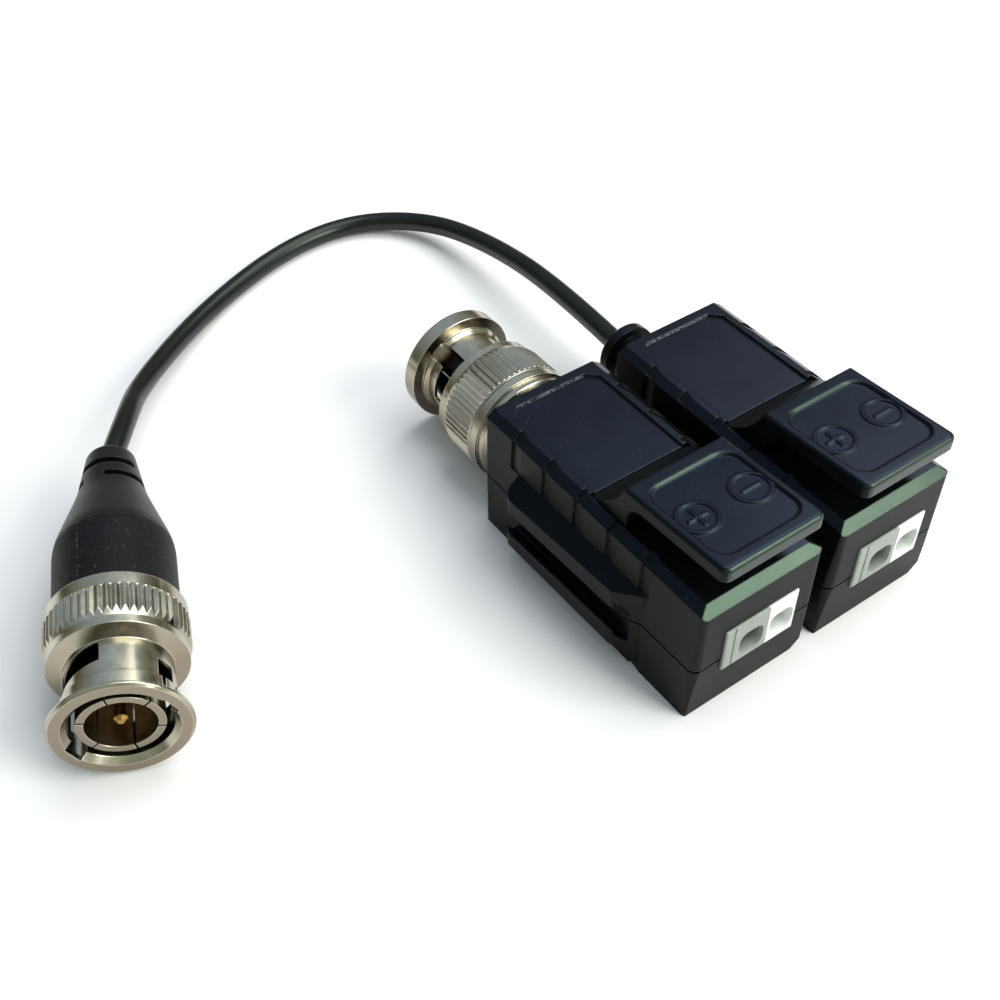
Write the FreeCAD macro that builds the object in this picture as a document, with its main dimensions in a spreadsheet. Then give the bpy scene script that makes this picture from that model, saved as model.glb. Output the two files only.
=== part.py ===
# A pair of passive video baluns, clipped side by side by the dovetail rail on their flanks.
# The left unit carries a rigid coaxial plug, the right one a short coaxial pigtail with a moulded plug.
# Units are millimetres. +X runs from the left unit to the right one, +Y from the wire terminals
# to the coaxial plug, +Z up. The origin is below the middle of the pair, on the surface it lies on.

import FreeCAD, Part
import Sketcher
import math
import os
import re

V = FreeCAD.Vector
Turn = FreeCAD.Rotation

SIZES = {
    # moulded case of one unit
    "housing_width": 16.0,
    "housing_length": 34.6,
    "housing_height": 16.0,
    "seam_height": 7.3,
    "seam_line": 0.12,
    "seam_groove": 0.25,
    "wall": 1.2,
    "side_draft": 0.34,
    "edge_chamfer_wide": 1.05,
    "edge_chamfer_high": 0.7,
    "brow_chamfer": 1.09,
    "corner_round": 1.03,
    "rear_chamfer": 0.4,
    "toe_recede": 0.43,
    "foot_chamfer": 1.4,
    "unit_gap": 2.0,
    # grip notches on the flanks, the first one placed from the rear face
    "notch_first": 4.6,
    "notch_pitch": 5.25,
    "notch_run": 1.8,
    "notch_depth": 0.25,
    "chamfer_notch_depth": 0.45,
    "notch_low": 11.5,
    # shallow panel on the roof behind the lever, its end placed from the rear face
    "panel_rear": 1.2,
    "panel_half": 5.8,
    "panel_corner": 1.3,
    "panel_depth": 0.3,
    # rail pad on the left flank, with the slot for the neighbour's tee rail; its rear end and
    # the tee rail's are placed from the rear face
    "rail_gap": 0.05,
    "pad_rear": 6.1,
    "pad_round": 1.2,
    "pad_taper": 0.5,
    "pad_taper_front": 11.0,
    "pad_front": 7.7,
    "pad_top_root": 11.7,
    "pad_top": 9.9,
    "pad_low": 2.9,
    "pad_low_root": 1.0,
    "rail_height": 6.35,
    "slot_front": 8.9,
    "mouth_half": 1.65,
    "undercut_half": 2.5,
    "lip": 0.75,
    "undercut_floor": 0.15,
    # tee rail on the right flank
    "tee_front": 9.2,
    "tee_rear": 6.4,
    "tee_neck_half": 1.55,
    "tee_head_half": 2.4,
    "tee_head": 0.9,
    "tee_reach": 1.75,
    # wire terminal, seen from the front, its heights measured down from the roof
    "pole_pitch": 3.95,
    "end_plate": 1.6,
    "end_line": 1.1,
    "terminal_left": 4.4,
    "terminal_low": 10.4,
    "terminal_top": 4.7,
    "terminal_gap": 0.05,
    "terminal_proud": 0.25,
    "terminal_edge": 0.2,
    "block_margin": 0.7,
    "block_low": 12.8,
    "block_top": 3.8,
    "block_rear": 10.8,
    "wire_height": 8.1,
    "wire_radius": 1.05,
    "funnel_half": 1.55,
    "funnel_round": 1.0,
    "funnel_depth": 1.6,
    "divider": 0.2,
    "divider_depth": 0.08,
    # spring clamps and contact bars in the terminal, their heights measured down from the roof
    "clamp_slot_front": 6.4,
    "clamp_slot_rear": 10.2,
    "clamp_slot_half": 1.35,
    "clamp_slot_floor": 12.1,
    "clamp_half": 1.2,
    "clamp_sheet": 0.35,
    "clamp_front": 6.6,
    "clamp_rear": 9.4,
    "clamp_top": 2.9,
    "clamp_low": 10.7,
    "clamp_lip": 1.8,
    "window_half": 0.85,
    "window_low": 7.6,
    "window_top": 5.1,
    "bar_half": 0.75,
    "bar_height": 7.0,
    "bar_sheet": 0.5,
    "bar_front": 6.0,
    "bar_rear": 12.6,
    # press lever: its plate and shoulder stand above the roof, its root and hinge lie below it
    "lever_width": 12.7,
    "lever_overhang": 0.4,
    "lever_rear": 13.6,
    "lever_front_top": 5.5,
    "lever_rear_top": 4.7,
    "lever_sheet": 1.65,
    "lever_corner": 0.9,
    "lever_edge": 0.5,
    "lever_gap_rear": 13.0,
    "lever_gap_shoulder": 1.0,
    "lever_gap_round": 2.2,
    "ramp_foot": 18.5,
    "ramp_radius": 8.0,
    "lever_side_gap": 0.1,
    "root_low": 1.1,
    "root_room": 0.7,
    "hinge_y": 16.4,
    "hinge_z": 1.7,
    "hinge_radius": 0.8,
    "hinge_fit": 0.05,
    "hinge_reach": 0.7,
    "boss_half": 1.1,
    "finger_half": 1.0,
    "finger_front": 8.0,
    "recess_front": 1.6,
    "recess_rear": 12.5,
    "recess_half": 5.3,
    "recess_round": 1.8,
    "recess_depth": 0.3,
    "recess_edge": 0.2,
    "mark_offset": 3.35,
    "mark_place": 7.1,
    "mark_radius": 2.2,
    "mark_stroke": 0.35,
    "mark_arm": 1.2,
    "mark_relief": 0.15,
    # circuit board, balun core and its winding; board_rear and core_front count from the rear face
    "board_front": 11.3,
    "board_rear": 3.6,
    "board_half": 6.2,
    "board_low": 3.0,
    "board_thick": 1.2,
    "post_side": 1.5,
    "core_front": 16.1,
    "core_length": 6.6,
    "core_half": 3.3,
    "core_high": 4.0,
    "core_hole": 1.0,
    "core_hole_offset": 1.65,
    "wire_bundle": 0.85,
    # coaxial plug: distances run back from the rim of the coupling ring
    "rim_reach": 18.42,
    "ring_length": 13.74,
    "ring_bore": 4.9,
    "ring_cavity": 6.0,
    "shoulder_at": 8.1,
    "rim_radius": 6.84,
    "rim_chamfer": 0.25,
    "mouth_chamfer": 0.6,
    "left_rim_rear": 2.05,
    "left_shoulder_front": 2.25,
    "left_shoulder_rear": 2.55,
    "plug_rim_rear": 0.5,
    "plug_shoulder_front": 0.65,
    "plug_shoulder_rear": 2.8,
    "shoulder_radius": 5.65,
    "ring_neck": 5.3,
    "neck_front": 2.9,
    "neck_rear": 6.9,
    "band_front": 7.5,
    "knurl_radius": 7.11,
    "knurl_front": 8.45,
    "knurl_run": 0.9,
    "knurl_depth": 0.22,
    "left_knurl_teeth": 60,
    "plug_knurl_teeth": 53,
    "tail_radius": 7.0,
    "left_knurl_rear": 13.45,
    "plug_knurl_rear": 12.25,
    "groove_width": 2.3,
    "groove_radius": 5.6,
    "left_entry_turn": 126.0,
    "left_entry_rear": 6.1,
    "left_window_turn": 136.0,
    "left_window_sweep": 52.0,
    "left_window_front": 4.2,
    "left_window_rear": 6.7,
    "left_window_lean_angle": 0.0,
    "plug_entry_turn": 155.0,
    "plug_entry_rear": 5.2,
    "plug_window_turn": 5.0,
    "plug_window_sweep": 76.0,
    "plug_window_front": 4.1,
    "plug_window_rear": 6.25,
    "plug_window_lean_angle": 9.4,
    "keeper_front": 10.8,
    "keeper_thick": 0.8,
    "keeper_inner": 4.7,
    "keeper_seat": 6.25,
    "flange_front": 9.3,
    "flange_thick": 1.2,
    "flange_radius": 5.92,
    "tube_radius": 4.4,
    "collar_gap": 0.15,
    "collar_length": 2.4,
    "collar_radius": 7.05,
    "collar_step": 1.1,
    "collar_second": 6.75,
    "collar_taper": 0.5,
    "collar_rear_radius": 6.2,
    "mount_neck": 5.5,
    "neck_fit": 0.05,
    "inner_flange": 5.85,
    "inner_flange_thick": 1.3,
    "sleeve_front": 0.64,
    "sleeve_rear": 12.0,
    "sleeve_outer": 4.15,
    "sleeve_inner": 3.4,
    "sleeve_slots": 6,
    "left_slot_turn": 0.0,
    "plug_slot_turn": 50.0,
    "sleeve_slot_width": 0.22,
    "sleeve_slot_depth": 5.0,
    "insulator_front": 6.0,
    "insulator_rear": 16.0,
    "rear_bore": 1.2,
    "pin_tip": 1.0,
    "pin_radius": 0.675,
    "left_pin_rear": 23.5,
    "plug_pin_rear": 21.0,
    "spring_sheet": 0.3,
    "spring_dish": 0.7,
    "spring_inner": 4.5,
    "spring_outer": 5.8,
    # moulded boot and crimp barrel of the pigtail plug
    "boot_front": 13.95,
    "barrel_rear": 22.0,
    "barrel_radius": 4.8,
    "boot_radius": 6.3,
    "boot_shoulder": 22.6,
    "boot_shoulder_radius": 6.28,
    "boot_shoulder_round": 9.0,
    "boot_waist": 30.4,
    "boot_waist_radius": 3.8,
    "boot_waist_round": 17.0,
    "boot_end": 37.3,
    "boot_end_radius": 2.62,
    "boot_end_round": 0.9,
    "relief_width": 1.0,
    "relief_core": 2.2,
    "relief_near": 31.0,
    "relief_far": 33.5,
    "relief_near_turn": 178.0,
    "relief_near_sweep": 160.0,
    "relief_side_turn": 47.0,
    "relief_side_sweep": 90.0,
    "relief_far_turn": 61.0,
    "relief_far_sweep": 180.0,
    # strain relief where the pigtail leaves the right unit
    "gland_neck": 3.0,
    "gland_flange": 4.4,
    "gland_ring": 3.6,
    "gland_groove": 2.6,
    "gland_first": 1.8,
    "gland_second": 3.2,
    "gland_third": 4.8,
    "gland_fourth": 6.4,
    "gland_reach": 8.0,
    "gland_chamfer": 0.4,
    "cord_radius": 1.3,
    "gland_turn": 90.0,
    "left_plug_turn": -90.0,
    # where the pigtail plug lies: its rim, from the left unit's front left corner
    "plug_x": -47.05,
    "plug_y": 26.57,
    "plug_z": 7.12,
    "plug_turn": 67.6,
}

# Middle of the pigtail, from the left unit's front left corner at the floor, chosen by hand.
ROUTE = [
    (27.4, 57.4, 7.0),
    (28.0, 73.3, 4.6),
    (26.0, 85.8, 2.3),
    (17.7, 93.1, 1.4),
    (6.0, 93.0, 1.4),
    (-9.5, 86.7, 1.4),
    (-23.7, 74.9, 3.9),
    (-28.8, 66.5, 6.7),
]

# Where each unit's own frame stands: x at its middle, y at its terminal face, z at the floor.
PITCH = "(housing_width + unit_gap)"
PAD_REACH = "(unit_gap - rail_gap)"
LEFT_X = "((%s - tee_reach - %s) / 2)" % (PAD_REACH, PITCH)
RIGHT_X = "((%s - tee_reach + %s) / 2)" % (PAD_REACH, PITCH)
FRONT_Y = "((lever_overhang - housing_length - rim_reach) / 2)"
LEFT_EDGE = "(%s - housing_width / 2)" % LEFT_X

HALF = "(housing_width / 2)"
INSIDE = "(housing_width / 2 - side_draft - wall)"
WINDOW_HALF = "(lever_width / 2 + lever_side_gap)"


def below_roof(size):
    """The height of a place that lies this far under the roof."""
    return "(housing_height - %s)" % size


def from_rear(size):
    """The place that lies this far ahead of the rear face."""
    return "(housing_length - %s)" % size


LEVER_FRONT = "(housing_height + lever_front_top)"
LEVER_REAR = "(housing_height + lever_rear_top)"
HINGE_Z = below_roof("hinge_z")
ROOT_LOW = below_roof("root_low")
TERMINAL_SPAN = ("%s - terminal_gap" % below_roof("terminal_low"),
                 "%s + terminal_gap" % below_roof("terminal_top"))
BLOCK_LOW = below_roof("block_low")
BLOCK_TOP = below_roof("block_top")
WIRE_Z = below_roof("wire_height")
CLAMP_LOW = below_roof("clamp_low")
CLAMP_TOP = below_roof("clamp_top")
BAR_LOW = below_roof("bar_height")
BOARD_REAR = from_rear("board_rear")
CORE_FRONT = from_rear("core_front")
PANEL_REAR = from_rear("panel_rear")
PAD_REAR = from_rear("pad_rear")

doc = FreeCAD.newDocument("video_balun_pair")
sheet = doc.addObject("Spreadsheet::Sheet", "sizes")
for row, (alias, value) in enumerate(SIZES.items(), 1):
    sheet.set("A%d" % row, alias)
    sheet.set("B%d" % row, str(value))
    sheet.setAlias("B%d" % row, alias)
doc.recompute()

WORD = re.compile(r"[a-z][a-z_]*[a-z]")
SHORT = {"x": "Placement.Base.x", "y": "Placement.Base.y", "z": "Placement.Base.z"}
finished = []


def formula(text):
    """A size formula in the sheet's own words, as an expression that the sheet can work out."""
    return WORD.sub(lambda word: "sizes." + word[0] if word[0] in SIZES else word[0], str(text))


def number(text):
    """The value of a size formula."""
    return float(sheet.evalExpression(formula(text)))


def bind(thing, **formulas):
    """Tie properties of one object to size formulas; x, y and z are its place."""
    for name, text in formulas.items():
        thing.setExpression(SHORT.get(name, name), formula(text))
    return thing


def make(owner, kind, name):
    """A new object in a body, or in the document where there is none."""
    return owner.newObject(kind, name) if owner else doc.addObject(kind, name)


def keep(piece, name, x, y, z, turn=0.0):
    """Name a finished piece and put it in its place, turned about the vertical."""
    piece.Label = name
    piece.Placement = FreeCAD.Placement(V(), Turn(V(0, 0, 1), turn))
    bind(piece, x=x, y=y, z=z)
    finished.append(piece)
    return piece


# Plain shapes

ALONG = {"x": Turn(V(0, 1, 0), 90), "y": Turn(V(1, 0, 0), -90), "z": Turn()}
PLANES = {"XY": Turn(), "XZ": Turn(V(1, 0, 0), 90), "YZ": Turn(0.5, 0.5, 0.5, 0.5)}
ACROSS = {"XY": ("z", V(0, 0, 1)), "XZ": ("y", V(0, 1, 0)), "YZ": ("x", V(1, 0, 0))}


def block(name, x, y, z, body=None, kind="Part::Box"):
    """A block between two formulas along each axis."""
    box = make(body, kind, name)
    spans = {"Length": x, "Width": y, "Height": z}
    bind(box, **{side: "(%s) - (%s)" % (span[1], span[0]) for side, span in spans.items()})
    return bind(box, x=x[0], y=y[0], z=z[0])


def rod(name, radius, length, x, y, z, along="z", body=None, kind="Part::Cylinder"):
    """A round rod from one end point along an axis."""
    round_bar = make(body, kind, name)
    round_bar.Placement = FreeCAD.Placement(V(), ALONG[along])
    return bind(round_bar, Radius=radius, Height=length, x=x, y=y, z=z)


def fuse(name, *shapes):
    joined = doc.addObject("Part::MultiFuse", name)
    joined.Shapes = list(shapes)
    joined.Refine = True
    return joined


def common(name, *shapes):
    shared = doc.addObject("Part::MultiCommon", name)
    shared.Shapes = list(shapes)
    return shared


def cut(name, base, *tools):
    less = doc.addObject("Part::Cut", name)
    less.Base = base
    less.Tool = fuse(name + "_tools", *tools) if len(tools) > 1 else tools[0]
    less.Refine = True
    return less


def arc_between(first, last, radius):
    """An arc to the left of the way from first to last, or to its right with a negative radius."""
    chord = last - first
    to_left = V(-chord.y, chord.x, 0).normalize()
    rise = math.sqrt(radius * radius - chord.Length ** 2 / 4)
    centre = (first + last) * 0.5 + to_left * math.copysign(rise, radius)
    middle = centre - to_left * radius
    return Part.Arc(first, middle, last)


def draw(sketch, corners):
    """A closed outline with each corner held at its two formulas.

    A third entry is the radius of an arc that leads to that corner.
    """
    places = [V(number(corner[0]), number(corner[1]), 0) for corner in corners]
    count = len(corners)
    starts = []
    for index in range(count):
        first = places[index]
        last = places[(index + 1) % count]
        following = corners[(index + 1) % count]
        if len(following) == 3:
            edge = arc_between(first, last, number(following[2]))
        else:
            edge = Part.LineSegment(first, last)
        sketch.addGeometry(edge, False)
        drawn = sketch.Geometry[index]
        starts.append(1 if drawn.StartPoint.distanceToPoint(first) < 1e-6 else 2)
    for index in range(count):
        after = (index + 1) % count
        joint = Sketcher.Constraint("Coincident", index, 3 - starts[index], after, starts[after])
        sketch.addConstraint(joint)
    for index, corner in enumerate(corners):
        for kind, text, value in (("DistanceX", corner[0], places[index].x),
                                  ("DistanceY", corner[1], places[index].y)):
            held = sketch.addConstraint(Sketcher.Constraint(kind, -1, 1, index, starts[index], value))
            sketch.setExpression("Constraints[%d]" % held, formula(text))
        if len(corner) == 3:
            edge = (index - 1) % count
            radius = abs(number(corner[2]))
            held = sketch.addConstraint(Sketcher.Constraint("Radius", edge, radius))
            sketch.setExpression("Constraints[%d]" % held, formula("abs(%s)" % corner[2]))
    return sketch


def prism(name, plane, corners, start, end, lean=None):
    """An outline on a base plane, drawn out between two heights across it, or along a leaning way."""
    sketch = doc.addObject("Sketcher::SketchObject", name + "_outline")
    sketch.Placement = FreeCAD.Placement(V(), PLANES[plane])
    draw(sketch, corners)
    across, way = ACROSS[plane]
    bind(sketch, **{across: start})
    solid = doc.addObject("Part::Extrusion", name)
    solid.Base = sketch
    solid.DirMode = "Custom"
    solid.Dir = lean or way
    solid.Solid = True
    return bind(solid, LengthFwd="(%s) - (%s)" % (end, start))


def flat_sketch(body, name, role, corners, offset="0"):
    """A sketch on one of the body's own planes, at an offset along that plane's normal."""
    sketch = body.newObject("Sketcher::SketchObject", name)
    plane = [found for found in body.Origin.OriginFeatures if found.Role == role][0]
    sketch.AttachmentSupport = [(plane, "")]
    sketch.MapMode = "FlatFace"
    sketch.setExpression("AttachmentOffset.Base.z", formula(offset))
    return draw(sketch, corners)


def turned(name, corners):
    """A body turned about its X axis from an outline of places and radii."""
    body = doc.addObject("PartDesign::Body", name)
    sketch = flat_sketch(body, name + "_profile", "XY_Plane", corners)
    lathe = body.newObject("PartDesign::Revolution", name + "_turning")
    lathe.Profile = sketch
    lathe.ReferenceAxis = (sketch, ["H_Axis"])
    lathe.Angle = 360
    return body


def around(body, name, feature, count):
    """Copies of one feature, evenly spaced about the body's X axis."""
    axis = [found for found in body.Origin.OriginFeatures if found.Role == "X_Axis"][0]
    pattern = body.newObject("PartDesign::PolarPattern", name)
    pattern.Originals = [feature]
    pattern.Axis = (axis, [""])
    pattern.Angle = 360
    bind(pattern, Occurrences=count)
    body.Tip = pattern
    return pattern


# The case of one unit

PLAN = [
    ("-%s" % HALF, "corner_round"),
    ("corner_round - %s" % HALF, "0", "corner_round"),
    ("%s - corner_round" % HALF, "0"),
    (HALF, "corner_round", "corner_round"),
    (HALF, "housing_length - rear_chamfer"),
    ("%s - rear_chamfer" % HALF, "housing_length"),
    ("rear_chamfer - %s" % HALF, "housing_length"),
    ("-%s" % HALF, "housing_length - rear_chamfer"),
]
PAD_FACE = "(-%s - %s)" % (HALF, PAD_REACH)
PAD_ROOT = "(side_draft + wall / 2 - %s)" % HALF
PAD_PLAN = [
    (PAD_ROOT, "pad_front"),
    (PAD_ROOT, PAD_REAR),
    ("%s + pad_round" % PAD_FACE, PAD_REAR),
    (PAD_FACE, "%s - pad_round" % PAD_REAR, "pad_round"),
    ("%s + pad_taper" % PAD_FACE, "pad_taper_front"),
    ("-%s" % HALF, "pad_front"),
]
POLES = {
    "plus": "(end_plate + pole_pitch / 2 - terminal_left)",
    "minus": "(end_plate + pole_pitch * 3 / 2 - terminal_left)",
}
TERMINAL_RIGHT = "(end_plate + 2 * pole_pitch - terminal_left)"
NOTCHES = 5


def saw_teeth(side, face, depth):
    """The outline, seen from above, that cuts the row of ramped notches into one flank."""
    clear = "%d * (%s + 0.02)" % (side, face)
    outer = "%d * (%s + 1)" % (side, face)
    inner = "%d * (%s - %s)" % (side, face, depth)
    first = from_rear("notch_first")
    corners = [(outer, "%s + 1" % first), (clear, "%s + 1" % first)]
    for index in range(NOTCHES):
        step = "%s - %d * notch_pitch" % (first, index)
        corners.append((clear, step))
        corners.append((inner, step))
        corners.append((clear, "%s - notch_run" % step))
    last = "%s - %d * notch_pitch - notch_run - 1" % (first, NOTCHES - 1)
    return corners + [(clear, last), (outer, last)]


def roof_notches(unit, side, low):
    """The notches of one flank of the upper shell: up the leaning wall, then over the chamfer."""
    slope = number("side_draft / (housing_height - edge_chamfer_high - seam_height)")
    eaves = "housing_height - edge_chamfer_high"
    lean_in = "side_draft * (%s - seam_height) / (%s - seam_height)" % (low, eaves)
    wall_face = "%s - %s" % (HALF, lean_in)
    wall_cut = prism("%s_wall_notch" % unit, "XY", saw_teeth(side, wall_face, "notch_depth"),
                     low, eaves, V(-side * slope, 0, 1))
    chamfer_cut = prism("%s_chamfer_notch" % unit, "XY",
                        saw_teeth(side, "%s - side_draft" % HALF, "chamfer_notch_depth"),
                        eaves, "housing_height + edge_chamfer_wide",
                        V(-side * number("edge_chamfer_wide"), 0, number("edge_chamfer_high")))
    return [wall_cut, chamfer_cut]


def rail_slot(unit):
    """The undercut slot in the pad: open at the rear, closed at the front."""
    deep = "-%s - undercut_floor" % HALF
    mouth = block(unit + "_mouth", ("%s - 1" % PAD_FACE, deep), ("slot_front", "%s + 1" % PAD_REAR),
                  ("rail_height - mouth_half", "rail_height + mouth_half"))
    under = block(unit + "_undercut", ("%s + lip" % PAD_FACE, deep), ("slot_front", "%s + 1" % PAD_REAR),
                  ("rail_height - undercut_half", "rail_height + undercut_half"))
    return [mouth, under]


def tee_rail(unit, low, top):
    """The tee rail on the right flank, or the share of it between two heights."""
    root = "%s - side_draft - wall / 2" % HALF
    head = "%s + tee_reach - tee_head" % HALF
    span = ("tee_front", from_rear("tee_rear"))
    neck = block(unit + "_tee_neck", (root, head), span,
                 ("max(rail_height - tee_neck_half; %s)" % low,
                  "min(rail_height + tee_neck_half; %s)" % top))
    wide = block(unit + "_tee_head", (head, "%s + tee_reach" % HALF), span,
                 ("max(rail_height - tee_head_half; %s)" % low,
                  "min(rail_height + tee_head_half; %s)" % top))
    return [neck, wide]


def terminal_opening(unit):
    """The opening in the front wall that the terminal's nose fills."""
    return block(unit + "_opening", ("-terminal_left - terminal_gap", "%s + terminal_gap" % TERMINAL_RIGHT),
                 ("-1", "wall + 0.5"), TERMINAL_SPAN)


def rear_hole(unit, radius):
    """The hole in the rear wall, centred on the seam."""
    return rod(unit + "_rear_hole", radius, "3 * wall", "0", "housing_length - 2 * wall", "seam_height", "y")


def upper_shell(side, rear_radius, x):
    unit = side + "_upper"
    eaves = "housing_height - edge_chamfer_high"
    leaned = "%s - side_draft" % HALF
    above_seam = "seam_height + seam_line"
    section = prism(unit + "_section", "XZ", [
        ("seam_groove - %s" % HALF, "seam_height"), ("%s - seam_groove" % HALF, "seam_height"),
        ("%s - seam_groove" % HALF, above_seam), (HALF, above_seam), (leaned, eaves),
        ("%s - edge_chamfer_wide" % leaned, "housing_height"),
        ("edge_chamfer_wide - (%s)" % leaned, "housing_height"), ("-(%s)" % leaned, eaves),
        ("-%s" % HALF, above_seam), ("seam_groove - %s" % HALF, above_seam),
    ], "0", "housing_length")
    profile = prism(unit + "_profile", "YZ", [
        ("seam_groove", "seam_height"), (from_rear("seam_groove"), "seam_height"),
        (from_rear("seam_groove"), above_seam), ("housing_length", above_seam),
        ("housing_length", "housing_height"), ("brow_chamfer", "housing_height"),
        ("0", "housing_height - brow_chamfer"), ("0", above_seam), ("seam_groove", above_seam),
    ], "-%s" % HALF, HALF)
    plan = prism(unit + "_plan", "XY", PLAN, "0", "housing_height")
    outside = common(unit + "_outside", section, profile, plan)
    notched = cut(unit + "_notched", outside,
                  *roof_notches(unit + "_left", -1, "notch_low"),
                  *roof_notches(unit + "_right", 1, "notch_low"))
    pad = common(unit + "_pad", prism(unit + "_pad_section", "XZ", [
        (PAD_ROOT, "seam_height"), (PAD_FACE, "seam_height"), (PAD_FACE, "pad_top"),
        ("side_draft / 2 - %s" % HALF, "pad_top_root"), (PAD_ROOT, "pad_top_root"),
    ], "0", "housing_length"), prism(unit + "_pad_plan", "XY", PAD_PLAN, "0", "housing_height"))
    panel = prism(unit + "_panel", "XY", [
        ("-panel_half", "ramp_foot"), ("panel_half", "ramp_foot"),
        ("panel_half", "%s - panel_corner" % PANEL_REAR), ("panel_half - panel_corner", PANEL_REAR),
        ("panel_corner - panel_half", PANEL_REAR),
        ("-panel_half", "%s - panel_corner" % PANEL_REAR),
    ], "housing_height - panel_depth", "housing_height + 1")
    cavity = block(unit + "_cavity", ("-%s" % INSIDE, INSIDE), ("wall", "housing_length - wall"),
                   ("seam_height - 1", "housing_height - wall"))
    lever_window = block(unit + "_lever_window", ("-%s" % WINDOW_HALF, WINDOW_HALF),
                         ("lever_gap_rear - root_room", "ramp_foot + lever_side_gap"),
                         ("%s - 2 * hinge_radius" % HINGE_Z, "housing_height + 1"))
    sockets = rod(unit + "_sockets", "hinge_radius + hinge_fit",
                  "lever_width + 2 * (hinge_reach + lever_side_gap)",
                  "-lever_width / 2 - hinge_reach - lever_side_gap", "hinge_y", HINGE_Z, "x")
    solid = fuse(unit + "_solid", notched, pad, *tee_rail(unit, "seam_height", "housing_height"))
    shell = cut(unit + "_shell", solid, cavity, panel, lever_window, sockets, terminal_opening(unit),
                rear_hole(unit, rear_radius), *rail_slot(unit))
    keep(shell, side + "_upper_shell", x, FRONT_Y, "0")


def lower_shell(side, rear_radius, x):
    unit = side + "_lower"
    section = prism(unit + "_section", "XZ", [
        ("-%s" % HALF, "0"), ("%s - foot_chamfer" % HALF, "0"), (HALF, "foot_chamfer"),
        (HALF, "seam_height"), ("-%s" % HALF, "seam_height"),
    ], "0", "housing_length")
    profile = prism(unit + "_profile", "YZ", [
        ("toe_recede", "0"), ("housing_length", "0"), ("housing_length", "seam_height"),
        ("0", "seam_height"),
    ], "-%s" % HALF, HALF)
    plan = prism(unit + "_plan", "XY", PLAN, "0", "housing_height")
    outside = common(unit + "_outside", section, profile, plan)
    notched = cut(unit + "_notched", outside, prism(unit + "_left_notch", "XY",
                  saw_teeth(-1, HALF, "notch_depth"), "-0.5", "pad_low_root"))
    pad = common(unit + "_pad", prism(unit + "_pad_section", "XZ", [
        (PAD_ROOT, "pad_low_root"), ("-%s" % HALF, "pad_low_root"), (PAD_FACE, "pad_low"),
        (PAD_FACE, "seam_height"), (PAD_ROOT, "seam_height"),
    ], "0", "housing_length"), prism(unit + "_pad_plan", "XY", PAD_PLAN, "0", "housing_height"))
    cavity = block(unit + "_cavity", ("-%s" % INSIDE, INSIDE), ("wall", "housing_length - wall"),
                   ("wall", "seam_height + 1"))
    solid = fuse(unit + "_solid", notched, pad, *tee_rail(unit, "0", "seam_height"))
    hollow = cut(unit + "_hollow", solid, cavity, terminal_opening(unit),
                 rear_hole(unit, rear_radius), *rail_slot(unit))
    rest = block(unit + "_rest", ("-terminal_left", TERMINAL_RIGHT),
                 ("block_rear / 4", "block_rear * 3 / 4"), ("wall / 2", BLOCK_LOW))
    posts = []
    for end, low in (("front", "board_front"), ("rear", "%s - post_side" % BOARD_REAR)):
        for hand, sign in (("left", -1), ("right", 1)):
            middle = "%d * (board_half - post_side / 2)" % sign
            posts.append(block("%s_%s_%s_post" % (unit, end, hand),
                               ("%s - post_side / 2" % middle, "%s + post_side / 2" % middle),
                               (low, "%s + post_side" % low), ("wall / 2", "board_low")))
    keep(fuse(unit + "_shell", hollow, rest, *posts), side + "_lower_shell", x, FRONT_Y, "0")


# The press lever of one unit

LEVER_SLOPE = "(lever_front_top - lever_rear_top) / (lever_rear + lever_overhang)"
LEVER_TILT = math.degrees(math.atan(number(LEVER_SLOPE)))


def on_lever(piece, x, along, lift):
    """Lay a piece on the lever's sloping top: across, along it from its front edge, and up from it."""
    lean = Turn(V(1, 0, 0), -LEVER_TILT)
    piece.Placement = FreeCAD.Placement(V(), lean.multiply(piece.Placement.Rotation))
    rise = math.sin(math.radians(LEVER_TILT))
    run = math.cos(math.radians(LEVER_TILT))
    return bind(piece, x=x, y="(%s) * %.9f + (%s) * %.9f - lever_overhang" % (along, run, lift, rise),
                z="%s - (%s) * %.9f + (%s) * %.9f" % (LEVER_FRONT, along, rise, lift, run))


def top_edges(shape):
    """The names and boxes of the edges that lie in the lever's sloping top."""
    found = []
    for index, edge in enumerate(shape.Edges, 1):
        ends = [vertex.Point for vertex in edge.Vertexes]
        depths = [number(LEVER_FRONT) - end.z for end in ends]
        falls = [number(LEVER_SLOPE) * (end.y + number("lever_overhang")) for end in ends]
        if max(abs(depth - fall) for depth, fall in zip(depths, falls)) < 0.01:
            found.append(("Edge%d" % index, edge.BoundBox))
    return found


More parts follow.
